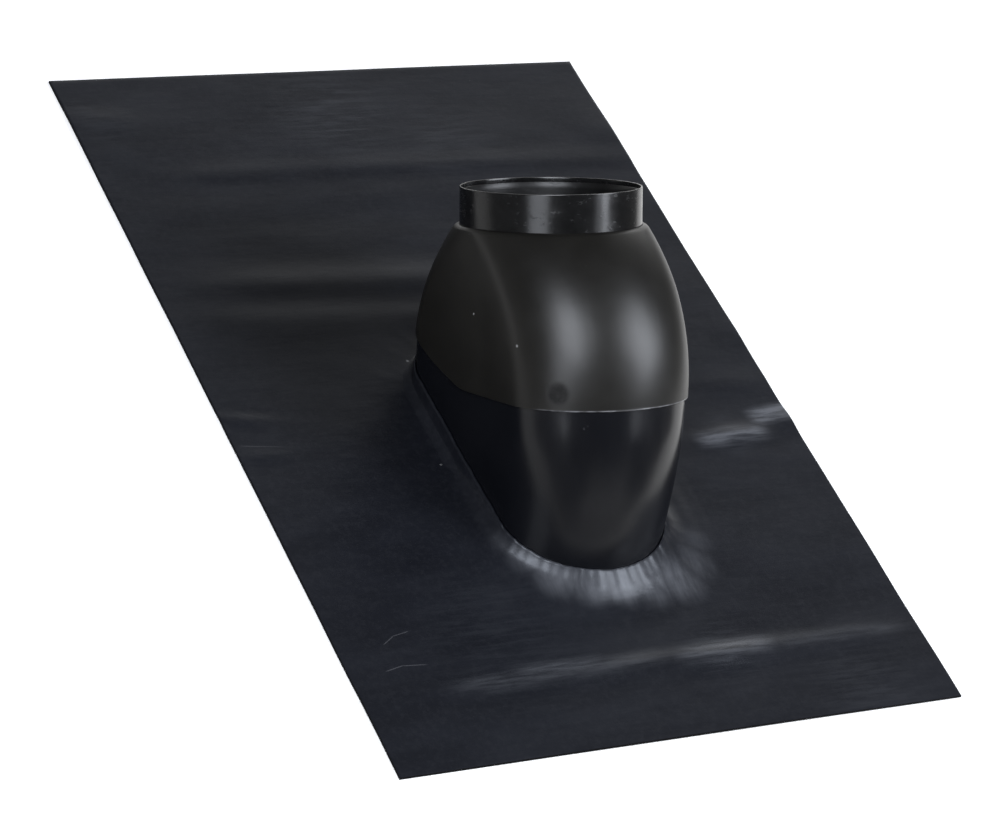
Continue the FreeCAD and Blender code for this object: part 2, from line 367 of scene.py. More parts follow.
# ---------------------------------------------------------------- materials
def hood_material():
    m = Mat("hood_plastic")
    big = m.noise(m.co, 26.0, 4.0, 0.55)
    fine = m.noise(m.co, 900.0, 2.0, 0.6)
    grain = m.noise(m.co, 2600.0, 2.0, 0.6)
    col = m.mix(m.fit(big, 0.35, 0.7, 0.0, 1.0, True), (0.0086, 0.0080, 0.0068), (0.0114, 0.0107, 0.0092))
    smudge = m.math("MULTIPLY", m.blob((-55.3, -128.0, 127.4), 10.5, 0.50), m.fit(m.noise(m.co, 160.0, 3.0, 0.6), 0.35, 0.6, 0.65, 1.0))
    col = m.mix(m.math("MULTIPLY", smudge, 0.7), col, (0.0036, 0.0036, 0.0040))
    dust = m.math("MAXIMUM", m.specks(62.0, 0.030, 0.10), m.specks(210.0, 0.05, 0.03))
    own = m.math("MAXIMUM", m.blob((-72.7, -29.0, 110.5), 1.1, 0.5), m.blob((-71.4, -84.6, 133.7), 1.4, 0.6))
    col = m.mix(m.math("MULTIPLY", m.math("MAXIMUM", dust, own), 0.75), col, (0.30, 0.30, 0.30))
    # painted highlight: the front of the rim is painted pale where the trimmed edge catches the light
    psep = m.t.nodes.new("ShaderNodeSeparateXYZ")
    m.t.links.new(pipe_coords(m), psep.inputs[0])
    above = m.math("SUBTRACT", psep.outputs[2], m.math("ADD", 0.0671, m.math("MULTIPLY", m.math("ADD", psep.outputs[1], 0.150), 4.8 / 152.0)))
    rim = m.math("MULTIPLY", m.fit(above, 0.0005, 0.0013, 1.0, 0.0, True), m.fit(psep.outputs[1], -0.100, -0.078, 1.0, 0.0, True))
    rim = m.math("MULTIPLY", rim, m.fit(m.noise(m.co, 75.0, 3.0, 0.6), 0.40, 0.60, 0.25, 1.0, True))
    col = m.mix(m.math("MULTIPLY", rim, 0.85), col, (0.20, 0.20, 0.21))
    m.put(m.b.inputs["Base Color"], col)
    rough = m.math("ADD", m.fit(big, 0.3, 0.75, 0.345, 0.395), m.fit(fine, 0.3, 0.7, -0.02, 0.02))
    rough = m.math("ADD", rough, m.math("MULTIPLY", smudge, 0.48))
    m.put(m.b.inputs["Roughness"], rough)
    m.b.inputs["Specular IOR Level"].default_value = 0.5
    h = m.math("ADD", m.math("MULTIPLY", fine, 0.6), m.math("MULTIPLY", grain, 0.4))
    nrm = m.bump(h, 0.22, 0.00012)
    nrm = m.bump(m.noise(m.co, 55.0, 2.0, 0.5), 0.10, 0.0008, nrm)
    m.put(m.b.inputs["Normal"], nrm)
    return m.m


def base_material():
    m = Mat("base_plastic")
    pc = pipe_coords(m)
    big = m.noise(m.co, 22.0, 4.0, 0.55)
    streak = m.noise(pipe_coords(m, (1.0, 1.0, 0.06)), 620.0, 3.0, 0.6)
    wipe = m.noise(pipe_coords(m, (1.0, 1.0, 0.18)), 120.0, 4.0, 0.6)
    col = m.mix(m.fit(big, 0.35, 0.7, 0.0, 1.0, True), (0.0040, 0.0044, 0.0062), (0.0060, 0.0064, 0.0084))
    sc = None
    for p, q, w in (((-39.5, -148.6, 115.5), (-34.8, -153.5, 105.5), 0.35), ((-36.2, -149.4, 116.0), (-33.5, -152.5, 109.0), 0.25),
                    ((9.0, -160.6, 112.0), (10.6, -170.0, 92.0), 0.30), ((13.5, -162.0, 108.0), (14.0, -167.5, 97.0), 0.25),
                    ((-20.0, -170.0, 90.0), (-18.5, -174.5, 80.0), 0.25), ((2.0, -172.5, 86.0), (3.2, -176.0, 77.0), 0.22)):
        k = m.line(p, q, w, 0.7)
        sc = k if sc is None else m.math("MAXIMUM", sc, k)
    dust = m.math("MAXIMUM", m.specks(90.0, 0.035, 0.10), m.specks(260.0, 0.05, 0.03))
    col = m.mix(m.math("MULTIPLY", sc, 0.55), col, (0.09, 0.09, 0.10))
    col = m.mix(m.math("MULTIPLY", dust, 0.5), col, (0.16, 0.16, 0.17))
    m.put(m.b.inputs["Base Color"], col)
    rough = m.math("ADD", m.fit(wipe, 0.35, 0.7, 0.195, 0.240), m.fit(streak, 0.3, 0.7, -0.006, 0.008))
    rough = m.math("ADD", rough, m.math("MULTIPLY", sc, 0.25))
    m.put(m.b.inputs["Roughness"], rough)
    m.b.inputs["Specular IOR Level"].default_value = 0.5
    nrm = m.bump(streak, 0.05, 0.00004)
    nrm = m.bump(m.noise(pc, 34.0, 2.0, 0.5), 0.10, 0.0010, nrm)
    m.put(m.b.inputs["Normal"], nrm)
    return m.m


def collar_material():
    m = Mat("collar_plastic")
    lines = m.noise(pipe_coords(m, (0.05, 0.05, 1.0)), 900.0, 3.0, 0.65)
    mott = m.noise(pipe_coords(m, (0.6, 0.6, 1.0)), 260.0, 5.0, 0.7)
    patch = m.noise(pipe_coords(m, (1.0, 1.0, 0.8)), 46.0, 3.0, 0.6)
    col = m.mix(m.fit(patch, 0.4, 0.7, 0.0, 1.0, True), (0.0048, 0.0048, 0.0050), (0.0075, 0.0075, 0.0077))
    wear = m.math("MULTIPLY", m.fit(mott, 0.56, 0.70, 0.0, 1.0, True), m.fit(patch, 0.40, 0.62, 0.25, 1.0))
    col = m.mix(m.math("MULTIPLY", wear, 0.5), col, (0.030, 0.030, 0.031))
    dust = m.specks(240.0, 0.07, 0.06)
    col = m.mix(m.math("MULTIPLY", dust, 0.6), col, (0.20, 0.20, 0.20))
    m.put(m.b.inputs["Base Color"], col)
    rough = m.math("ADD", m.fit(patch, 0.35, 0.7, 0.17, 0.24), m.math("MULTIPLY", wear, 0.24))
    bore = m.fit(m.vec("LENGTH", pipe_coords(m, (1.0, 1.0, 0.0))), 0.0652, 0.0662, 1.0, 0.0)
    rough = m.math("ADD", rough, m.math("MULTIPLY", bore, 0.24))
    rough = m.math("ADD", rough, m.fit(lines, 0.3, 0.7, -0.02, 0.03))
    m.put(m.b.inputs["Roughness"], rough)
    m.b.inputs["Specular IOR Level"].default_value = 0.5
    nrm = m.bump(lines, 0.30, 0.00010)
    nrm = m.bump(m.math("MULTIPLY", wear, 1.0), 0.25, 0.00010, nrm)
    nrm = m.bump(patch, 0.22, 0.0006, nrm)
    m.put(m.b.inputs["Normal"], nrm)
    return m.m


def sheet_material():
    m = Mat("sheet")
    big = m.noise(m.co, 7.0, 4.0, 0.55)
    cloud = m.noise(m.map(scale=(0.55, 1.6, 1.0)), 16.0, 5.0, 0.6)
    brushed = m.noise(m.map(scale=(0.16, 1.6, 1.0), rot=(0, 0, math.radians(4))), 150.0, 5.0, 0.65)
    weave = m.noise(m.co, 480.0, 3.0, 0.6)
    fine = m.noise(m.co, 1500.0, 2.0, 0.6)
    col = m.mix(m.fit(cloud, 0.32, 0.70, 0.0, 1.0, True), (0.0074, 0.0082, 0.0116), (0.0104, 0.0115, 0.0160))
    col = m.mix(m.math("MULTIPLY", m.fit(big, 0.45, 0.7, 0.0, 1.0, True), 0.45), col, (0.0120, 0.0131, 0.0176))
    # painted highlights: pale brushed patches where the waves and creases catch the light as glints and sheen
    sheen_highlight = None
    for at, r, k in (((-8, 300, 2), 75, 0.75), ((-215, 300, 2), 40, 0.45), ((78, 262, 2), 60, 0.55), ((165, -335, 2), 70, 0.40),
                     ((62, -280, 2), 42, 0.85), ((176, -77, 2), 30, 0.8), ((-110, -245, 2), 90, 0.35)):
        b = m.math("MULTIPLY", m.math("MULTIPLY", m.blob(at, r, 0.85), m.fit(brushed, 0.42, 0.66, 0.0, 1.0, True)), k)
        sheen_highlight = b if sheen_highlight is None else m.math("MAXIMUM", sheen_highlight, b)
    col = m.mix(sheen_highlight, col, (0.030, 0.032, 0.038))
    mottle = m.fit(m.noise(m.co, 210.0, 5.0, 0.75), 0.44, 0.66, 0.0, 1.0, True)
    col = m.mix(m.math("MULTIPLY", mottle, 0.40), col, (0.0190, 0.0200, 0.0245))
    # painted highlights: pale streaks along the creases, on the raised patches by the right edge and in the cove
    # where the sheet is drawn over the foot
    crease_cove_highlight = None
    for p, q, w, k in (((-185, -282, 3), (35, -278, 3), 12.0, 0.40), ((-125, -277, 3), (-30, -275, 3), 10.0, 0.75), ((10, -281, 4), (118, -278, 4), 12.0, 0.62),
                       ((95, -280, 4), (239, -278, 4), 9.0, 0.24), ((138, -80, 4), (218, -76, 4), 12.0, 1.0), ((198, -62, 4), (258, -55, 4), 13.0, 1.5),
                       ((-160, 122, 4), (5, 121, 4), 12.0, 0.08)):
        b = m.math("MULTIPLY", m.math("MULTIPLY", m.line(p, q, w, 0.95), m.fit(brushed, 0.32, 0.68, 0.22, 1.0, True)), k)
        crease_cove_highlight = b if crease_cove_highlight is None else m.math("MAXIMUM", crease_cove_highlight, b)
    drawn = m.noise(m.map(scale=(1.3, 0.30, 0.5)), 110.0, 5.0, 0.6)
    for at, r, k in (((-72, -160, 5), 14, 0.16), ((-60, -178, 5), 20, 0.34), ((-42, -198, 5), 25, 0.72), ((-18, -208, 5), 25, 0.78), ((9, -211, 5), 26, 0.85),
                     ((32, -212, 5), 29, 0.95), ((58, -210, 5), 30, 0.85), ((80, -198, 5), 24, 0.50), ((92, -178, 5), 18, 0.22)):
        b = m.math("MULTIPLY", m.math("MULTIPLY", m.blob(at, r, 0.9), m.fit(drawn, 0.28, 0.70, 0.45, 1.0, True)), k)
        crease_cove_highlight = m.math("MAXIMUM", crease_cove_highlight, b)
    crease_cove_highlight = m.math("MINIMUM", m.math("MULTIPLY", crease_cove_highlight, m.fit(cloud, 0.25, 0.65, 0.72, 1.05)), 1.0)
    col = m.mix(crease_cove_highlight, col, (0.128, 0.133, 0.147))
    # painted shade: a broad darker region over the dark wave band left of the pipe
    col = m.mix(m.math("MULTIPLY", m.blob((-105, 85, 3), 170, 0.9), 0.72), col, (0.0030, 0.0031, 0.0040))
    # painted sheen: a lighter, bluish area in front of the foot where the sheet's broad tilt catches the light
    front_sheen = m.math("MULTIPLY", m.blob((-60, -270, 2), 210, 0.95), m.fit(cloud, 0.3, 0.7, 0.35, 0.75, True))
    col = m.mix(m.math("MULTIPLY", front_sheen, 0.30), col, (0.0165, 0.0184, 0.0235))
    # scratches; the two pairs of short lines along the crescent dents and the line near the left edge are painted
    # highlights
    sc = None
    for p, q, w in (((-203, -236.5, 2), (-190, -228.6, 2), 0.5), ((-194, -229.8, 2), (-174, -226, 2), 0.45), ((-212, -259.5, 2), (-193, -255.5, 2), 0.6),
                    ((-198, -256, 2), (-175, -258, 2), 0.6), ((75, -303, 2), (66, -323, 2), 0.4), ((-53, 263, 2), (-51, 252, 2), 0.5), ((-23, 214, 2), (-15, 221, 2), 0.6),
                    ((-26, 219, 2), (-20, 213, 2), 0.5), ((-238, -41, 2), (-196, -47, 2), 0.55)):
        k = m.line(p, q, w, 0.7)
        sc = k if sc is None else m.math("MAXIMUM", sc, k)
    dust = m.math("MAXIMUM", m.specks(48.0, 0.022, 0.07), m.specks(150.0, 0.035, 0.015))
    own = m.math("MAXIMUM", m.blob((-64, 27, 3), 1.6, 0.6), m.blob((-83, -78, 3), 1.3, 0.6))
    col = m.mix(m.math("MULTIPLY", sc, 0.40), col, (0.14, 0.14, 0.15))
    col = m.mix(m.math("MULTIPLY", m.math("MAXIMUM", dust, own), 0.6), col, (0.22, 0.22, 0.22))
    m.put(m.b.inputs["Base Color"], col)
    rough = m.math("ADD", m.fit(cloud, 0.3, 0.7, 0.30, 0.38), m.fit(brushed, 0.3, 0.7, -0.03, 0.03))
    m.put(m.b.inputs["Roughness"], rough)
    m.b.inputs["Specular IOR Level"].default_value = 0.5
    m.b.inputs["Specular Tint"].default_value = (0.90, 0.94, 1.0, 1.0)
    nrm = m.bump(weave, 0.20, 0.00012)
    nrm = m.bump(fine, 0.15, 0.00006, nrm)
    nrm = m.bump(brushed, 0.16, 0.00035, nrm)
    nrm = m.bump(cloud, 0.25, 0.0016, nrm)
    m.put(m.b.inputs["Normal"], nrm)
    return m.m


def edge_material():
    m = Mat("sheet_cut_edge")
    g = m.noise(m.co, 700.0, 3.0, 0.6)
    m.put(m.b.inputs["Base Color"], m.mix(g, (0.0022, 0.0023, 0.0028), (0.0050, 0.0052, 0.0060)))
    m.put(m.b.inputs["Roughness"], m.fit(g, 0.3, 0.7, 0.65, 0.85))
    m.b.inputs["Specular IOR Level"].default_value = 0.12
    m.put(m.b.inputs["Normal"], m.bump(g, 0.3, 0.0002))
    return m.m


# ---------------------------------------------------------------- hood
def make_hood(mat):
    ring = Around(124, 30, 104)
    s = np.arange(ring.n) / ring.n * 620.0
    uneven = wobble(s, 3, [(620 / 5, 0.10), (620 / 13, 0.07), (620 / 37, 0.05), (620 / 83, 0.03)])
    z0 = rim_level(ring, hood_dims) + uneven
    z1 = TOP_Z - LIP_ROUND
    rings = []
    # rim edge, slightly rounded, then the outer face up to the lip
    z0i = rim_level(ring, hood_dims, HOOD_T) + uneven
    # the trimmed rim stands out a little under the nose
    burr = np.exp(-((ring.point(hood_dims, z0)[:, 0] + 4.0) / 34.0) ** 2) * (ring.kind == 0)
    burr = 0.26 * burr * (0.75 + 0.25 * np.sin(s / 3.1) * np.sin(s / 7.7))
    rings.append(ring.point(hood_dims, z0 + 0.0, 0.75))
    rings.append(ring.point(hood_dims, z0 + 0.03, 0.22 - burr))
    rings.append(ring.point(hood_dims, z0 + 0.20, -burr))
    rings.append(ring.point(hood_dims, z0 + 0.80, -burr * 0.25))
    rings.append(ring.point(hood_dims, z0 + 1.30, 0.0))
    K = 84
    for i in range(1, K + 1):
        k = i / K
        rings.append(ring.point(hood_dims, z0 + 1.30 + (z1 - z0 - 1.30) * k))
    # lip: rounded over towards the collar, never closer to it than its bore
    bore = COLLAR_OD / 2 + 0.2
    top = ring.point(hood_dims, TOP_Z)
    nx = outward(top[:, :2])

    def inward(amount, z):
        p = top.copy()
        p[:, :2] -= nx * amount[:, None]
        p[:, 2] = z
        r = np.hypot(p[:, 0], p[:, 1])
        f = np.where(r < bore, bore / r, 1.0)
        p[:, :2] *= f[:, None]
        return p
    room = np.hypot(top[:, 0], top[:, 1]) - bore
    edge = ring.point(hood_dims, z1)
    for i in range(1, 9):
        a = math.radians(90.0 * i / 8)
        amount = LIP_ROUND * (1 - math.cos(a))
        lim = np.minimum(amount, np.maximum(room, 0.0))
        ang = np.arccos(np.clip(1 - lim / LIP_ROUND, 0, 1))
        z = z1 + LIP_ROUND * np.sin(ang)
        p = inward(lim, z)
        k = i / 8.0
        w = np.clip(1 - (z - z1) / LIP_ROUND, 0, 1)[:, None]
        p[:, :2] = p[:, :2] * (1 - w) + (edge[:, :2] - nx * lim[:, None]) * w
        rings.append(p)
    zl = rings[-1][:, 2]
    dirs = top[:, :2] / np.hypot(top[:, 0], top[:, 1])[:, None]
    rings.append(np.concatenate([dirs * (bore + 0.05), zl[:, None]], 1))
    rings.append(np.concatenate([dirs * bore, (zl - 0.25)[:, None]], 1))
    rings.append(np.concatenate([dirs * bore, np.full((ring.n, 1), TOP_Z - HOOD_T)], 1))
    ti = ring.point(hood_dims, TOP_Z - HOOD_T, HOOD_T)
    rings.append(np.concatenate([ti[:, :2] * 0.5 + dirs * bore * 0.5, np.full((ring.n, 1), TOP_Z - HOOD_T)], 1))
    for i in range(K // 2, -1, -1):
        k = i / (K // 2)
        rings.append(ring.point(hood_dims, z0i + 0.15 + (TOP_Z - HOOD_T - 1.2 - z0i) * k, HOOD_T))
    rings.append(ring.point(hood_dims, z0i, HOOD_T - 0.15))
    return loop_object("hood_shell", [lean(r) for r in rings], mat)


# ---------------------------------------------------------------- base shell
def make_base(mat):
    ring = Around(124, 30, 104)
    rings = []
    zt = rim_level(ring, base_dims, 0.0, OVERLAP)
    zti = rim_level(ring, base_dims, BASE_T, OVERLAP)
    zf = FLANGE_T - SHEET_T
    out12, zlow = ring.level(base_dims, zf + 12.0)
    rings.append(lean(ring.point(base_dims, zt, BASE_T * 0.5)))
    rings.append(lean(ring.point(base_dims, zt, 0.15)))
    K = 74
    for i in range(K + 1):
        k = i / K
        rings.append(lean(ring.point(base_dims, (zt - 0.2) * (1 - k) + zlow * k)))
    levels = [(zf + 11.0, 0.45), (zf + 9.0, 1.0), (zf + 7.5, 1.6), (zf + 6.0, 2.4), (zf + 4.5, 3.6), (zf + 3.2, 5.0),
              (zf + 2.1, 6.8), (zf + 1.2, 9.0), (zf + 0.4, 12.0), (zf, 15.0), (zf, 25.8), (zf - 0.2, 26.0), (-SHEET_T, 26.0)]
    for h, d in levels:
        o, _ = ring.level(base_dims, h)
        o = o + outward(o) * d
        rings.append(np.concatenate([o, np.full((ring.n, 1), h + SHEET_T)], 1))
    oi, zi = ring.level(base_dims, -SHEET_T, BASE_T)
    rings.append(np.concatenate([oi, np.zeros((ring.n, 1))], 1))
    for i in range(1, 41):
        k = i / 40
        rings.append(lean(ring.point(base_dims, zi * (1 - k) + (zti - 0.2) * k, BASE_T)))
    return loop_object("base_shell_wall", rings, mat)


# ---------------------------------------------------------------- collar
def make_collar(mat):
    N = 384
    a = np.arange(N) / N * 2 * math.pi
    ro, ri = COLLAR_OD / 2, COLLAR_ID / 2
    rs = ri + RIM_STEP_T
    zb, zt = COLLAR_TOP - COLLAR_LEN, COLLAR_TOP
    prof = [(ri, zb + 0.2), (ri + 0.2, zb), (ro - 0.2, zb), (ro, zb + 0.2)]
    prof += [(ro, zb + (zt - zb - 0.6) * k / 18.0) for k in range(1, 19)]
    prof += [(ro, zt - 0.35), (ro - 0.10, zt - 0.10), (ro - 0.35, zt), (rs + 0.30, zt), (rs + 0.08, zt - 0.09), (rs, zt - 0.35),
             (rs, zt - 1.5), (rs, zt - RIM_STEP + 0.12), (rs - 0.12, zt - RIM_STEP), (ri + 0.12, zt - RIM_STEP), (ri, zt - RIM_STEP - 0.15)]
    prof += [(ri, zt - RIM_STEP - 0.15 + (zb + 0.4 - zt + RIM_STEP) * k / 10.0) for k in range(1, 10)]
    rings = []
    # the ring isn't quite round: it is off by a few hundredths, as sawn pipe is
    oval = wobble(a, 11, [(2 * math.pi / 2, 0.05), (2 * math.pi / 3, 0.03), (2 * math.pi / 7, 0.012)]) - 0.08
    lip = wobble(a, 12, [(2 * math.pi / 3, 0.03), (2 * math.pi / 11, 0.02), (2 * math.pi / 29, 0.015)]) - 0.06
    for r, z in prof:
        k = np.clip((z - (zt - 4)) / 4.0, 0, 1)
        rr = r + oval * 0.8
        rings.append(lean(np.stack([rr * np.cos(a), rr * np.sin(a), np.full(N, z) + lip * k], -1)))
    return loop_object("pipe_collar_ring", rings, mat)


# ---------------------------------------------------------------- flashing sheet
def smooth(a, b, x):
    t = np.clip((x - a) / (b - a), 0, 1)
    return t * t * (3 - 2 * t)


def waves(x, y):
    """Height of the sheet's soft waves above the roof, in mm. The sheet was
    rolled up for storage, so they run across it."""
    def ridge(y0, amp, north, south, tilt=0.0, bow=0.0):
        d = y - (y0 + tilt * x + bow * (x / 240.0) ** 2)
        return amp * np.exp(-np.where(d > 0, (d / north) ** 2, (d / south) ** 2))

    def span(a, b, soft):
        return smooth(a - soft, a + soft, x) * (1 - smooth(b - soft, b + soft, x))
    n1 = np.sin(x / 37.0 + 0.7) * 0.5 + np.sin(x / 19.0 + 2.1) * 0.3
    h = np.zeros_like(x)
    h += ridge(236, 0.9 + 0.25 * n1, 12, 9, -0.01, -3) * span(-175, 240, 60)
    h += ridge(262, 0.55, 30, 20, 0.02) * span(-60, 150, 60)
    h += ridge(205, 0.45, 22, 14, 0.03) * span(-200, 40, 50)
    h += ridge(110, 1.75 + 0.3 * n1, 16, 14, -0.045) * span(-190, 20, 60)
    h += ridge(72, 0.9, 14, 18, -0.05) * span(-210, 10, 60)
    h += ridge(160, 0.5, 18, 16, -0.03) * span(-150, 60, 60)
    h += ridge(-281, 1.25 + 0.35 * n1, 8.0, 12, 0.0, 1.0) * span(-215, 200, 50)
    h += ridge(-287, 1.8, 9, 11, 0.03) * np.exp(-((x - 66) / 34.0) ** 2)
    h += ridge(-283, 0.9, 7, 9, 0.02) * span(-150, -10, 40)
    h += ridge(-305, 0.45, 12, 12, 0.02) * span(-220, -90, 50)
    h += ridge(-86, 2.0, 9, 10, 0.05) * np.exp(-((x - 180) / 30.0) ** 2)
    h += ridge(-66, 1.5, 11, 13, 0.0) * np.exp(-((x - 238) / 18.0) ** 2)
    h += ridge(-30, 0.9, 12, 12, 0.03) * np.exp(-((x - 205) / 35.0) ** 2)
    h += ridge(-47, 0.9, 3.0, 6.0, -0.14) * np.exp(-((x + 222) / 22.0) ** 2)
    h += ridge(-64, 0.6, 5.0, 6.0, -0.05) * np.exp(-((x + 218) / 22.0) ** 2)
    h += ridge(262, 0.8, 22, 24) * smooth(190, 240, x)
    h += ridge(28, 0.6, 18, 16) * smooth(205, 240, x)
    h += ridge(60, 0.6, 22, 18, 0.1) * np.exp(-((x - 170) / 50.0) ** 2)
    h += ridge(304, 0.7, 10, 12) * np.exp(-((x + 212) / 26.0) ** 2)
    # long, shallow undulation
    h += 0.35 * (1 + np.sin(y / 31.0 + 0.6 * np.sin(x / 90.0))) * (0.6 + 0.4 * np.sin(x / 150.0 + 1.0))
    h += 0.22 * (1 + np.sin(y / 17.0 + 1.3 + 0.9 * np.sin(x / 60.0 + 2.0)) * np.sin(x / 80.0 + y / 200.0))
    # two crescent dents near the lower left corner
    for cx, cy, r, a0, dep in ((-187, -243, 16.0, 8.0, 0.8), (-194, -271, 26.0, 15.0, 1.1)):
        rr = np.hypot(x - cx, (y - cy) * 1.0)
        h -= dep * np.exp(-((rr - r) / 1.8) ** 2) * np.exp(-((x - cx) / (a0 * 1.1)) ** 2) * (y > cy)
        h += dep * 0.6 * np.exp(-((rr - r - 3.4) / 2.2) ** 2) * np.exp(-((x - cx) / (a0 * 1.2)) ** 2) * (y > cy)
    return np.maximum(h, 0.0)


def make_sheet(mat):
    ring = Around(300, 62, 236)
    o0, _ = ring.level(base_dims, 6.0)
    step = np.linalg.norm(np.roll(o0, -1, 0) - o0, axis=1)
    s = np.concatenate([[0], np.cumsum(step)[:-1]])
    total = step.sum()
    nose = np.exp(-((o0[:, 1] + 215.0) / 46.0) ** 2)            # 1 at the nose, 0 along the sides
    side = smooth(-205, -120, o0[:, 1])
    pk = wobble(s, 5, [(total / n, a) for n, a in ((23, 0.5), (31, 0.7), (43, 0.8), (57, 0.7), (71, 0.5), (97, 0.3))])
    pk /= np.abs(pk).max()
    pk2 = wobble(s, 8, [(total / n, a) for n, a in ((9, 0.5), (14, 0.6), (19, 0.5), (61, 0.3), (83, 0.25))])
    pk2 /= np.abs(pk2).max()

    # profile of the drawn-up edge: distance from the wall, height above the flat top face
    P = [(0.45, 13.0), (0.85, 13.18), (1.5, 13.05), (2.15, 12.4), (2.6, 11.3), (4.4, 8.4), (7.0, 5.5), (11.5, 3.15), (18.0, 2.0),
         (27.0, 1.45), (36.0, 0.5), (46.0, 0.0)]
    pd = np.array([p[0] for p in P]); ph = np.array([p[1] for p in P])
    ds = np.concatenate([[0.45, 0.62, 0.85, 1.15, 1.5, 1.85, 2.15, 2.4, 2.6, 3.1, 3.7, 4.4, 5.2, 6.1, 7.0, 8.0, 9.2, 10.5],
                         np.linspace(12.0, 46.0, 19)])
    hs = table(pd, ph, ds)
    cut = 1.0 + 0.022 * wobble(s, 21, [(total / 7, 1.0), (total / 16, 0.8), (total / 39, 0.7), (total / 90, 0.4)])
    Q = [(0.45, 13.0), (0.85, 13.12), (1.5, 12.95), (2.4, 12.5), (4.0, 11.6), (7.0, 9.85), (11.0, 7.45), (15.0, 5.05), (19.0, 3.05),
         (23.0, 1.85), (28.0, 1.15), (35.0, 0.45), (46.0, 0.0)]
    hq = table(np.array([p[0] for p in Q]), np.array([p[1] for p in Q]), ds)
    wide = np.exp(-((o0[:, 1] + 215.0) / 58.0) ** 2) * smooth(-66, -8, o0[:, 0] + 0.0)
    wide = np.maximum(wide, 0.55 * np.exp(-((o0[:, 1] + 215.0) / 40.0) ** 2))
    tight = [(0.45, 13.0), (0.85, 13.1), (1.5, 12.9), (2.1, 11.6), (2.6, 9.2), (3.6, 5.0), (5.0, 2.6), (8.0, 1.3), (14.0, 0.6), (24.0, 0.2),
             (35.0, 0.05), (46.0, 0.0)]
    ht = table(np.array([p[0] for p in tight]), np.array([p[1] for p in tight]), ds)
    rear = smooth(-130, -70, o0[:, 1])
    top = []
    for d, h, h2, h3 in zip(ds, hs, hq, ht):
        hh = (h * (1 - rear) + h3 * rear) * (1 - wide) + h2 * wide
        o, _ = ring.level(base_dims, hh)
        nrm = outward(o)
        near = math.exp(-((d - 12.0) / 9.0) ** 2)
        far = math.exp(-((d - 24.0) / 14.0) ** 2)
        amp = near * (0.05 * nose * pk + 0.05 * (1 - nose) * pk2) + far * (0.22 * nose * pk2 + 0.08 * (1 - nose) * pk)
        rise = 0.0
        flare = 1.0 + 0.03 * nose * smooth(6.0, 20.0, d) * pk2
        p = o + nrm * (d * flare)[:, None]
        z = hh * np.where(h > 3, cut, 1.0) + amp + rise
        w = waves(p[:, 0], p[:, 1]) * smooth(8.0, 46.0, d)
        top.append(np.concatenate([p, (z + w + SHEET_T)[:, None]], 1))
    inner = top[-1][:, :2]
    # matching points on the sheet's outline, with its four corners hit exactly
    ctr = np.array([0.0, -70.0])
    hw, hl = SHEET_W / 2, SHEET_L / 2
    v = inner - ctr
    kx = np.where(v[:, 0] > 0, hw / np.maximum(v[:, 0], 1e-9), -hw / np.minimum(v[:, 0], -1e-9))
    ky = np.where(v[:, 1] > 0, (hl - ctr[1]) / np.maximum(v[:, 1], 1e-9), (-hl - ctr[1]) / np.minimum(v[:, 1], -1e-9))
    edge = ctr + v * np.minimum(kx, ky)[:, None]
    # spread the samples evenly between corners
    corner = []
    for cx, cy in ((hw, -hl), (-hw, -hl), (-hw, hl), (hw, hl)):
        corner.append(int(np.argmin(np.hypot(edge[:, 0] - cx, edge[:, 1] - cy))))
        edge[corner[-1]] = (cx, cy)
    n = ring.n
    order = sorted(corner)
    for a, b in zip(order, order[1:] + [order[0] + n]):
        for i in range(a + 1, b):
            k = (i - a) / (b - a)
            even = edge[a % n] * (1 - k) + edge[b % n] * k
            edge[i % n] = 0.35 * edge[i % n] + 0.65 * even if abs(a - b) > 1 else edge[i % n]
    R = 74
    out = []
    for i in range(1, R + 1):
        k = i / R
        q = inner * (1 - k) + edge * k
        if i == R:
            q = inner + (edge - inner) * (1 - 0.5 / np.linalg.norm(edge - inner, axis=1))[:, None]
        d = 46.0 + (np.linalg.norm(q - inner, axis=1))
        z = SHEET_T + waves(q[:, 0], q[:, 1])
        fade = np.exp(-((d - 24.0) / 14.0) ** 2) * 0.22 * nose * pk2
        out.append(np.concatenate([q, (z + fade)[:, None]], 1))
    # rounded cut edge, then the underside, which follows the waves
    we = waves(edge[:, 0], edge[:, 1])
    rim = [np.concatenate([edge + (inner - edge) * (0.12 / np.linalg.norm(edge - inner, axis=1))[:, None], (we + SHEET_T - 0.10)[:, None]], 1),
           np.concatenate([edge, (we + SHEET_T - 0.45)[:, None]], 1),
           np.concatenate([edge, (we + 0.25)[:, None]], 1),
           np.concatenate([edge + (inner - edge) * (0.25 / np.linalg.norm(edge - inner, axis=1))[:, None], we[:, None]], 1)]
    under = []
    for k in (0.95, 0.85, 0.7, 0.5, 0.3, 0.12):
        q = inner * (1 - k) + edge * k
        under.append(np.concatenate([q, waves(q[:, 0], q[:, 1])[:, None]], 1))
    zf = FLANGE_T - SHEET_T
    for d, h in ((40.0, -SHEET_T), (32.0, -SHEET_T), (26.8, -SHEET_T), (26.6, zf + 0.15), (15.2, zf + 0.15), (9.2, zf + 1.4), (5.2, zf + 3.4),
                 (2.6, zf + 6.2), (1.2, zf + 9.2), (0.55, zf + 12.0)):
        o, _ = ring.level(base_dims, h)
        o = o + outward(o) * d
        z = np.full(ring.n, h + SHEET_T)
        under.append(np.concatenate([o, z[:, None]], 1))
    rings = np.array(top + out + rim + under)
    ob = loop_object("flashing_sheet_skin", rings, mat, 50.0)
    ob.data.materials.append(edge_material())
    first = len(top) + len(out) - 1                      # the band of faces below the top face's border
    index = np.zeros(len(ob.data.polygons), dtype=np.int32)
    index[first * n:(first + 4) * n] = 1
    ob.data.polygons.foreach_set("material_index", index)
    return ob, edge


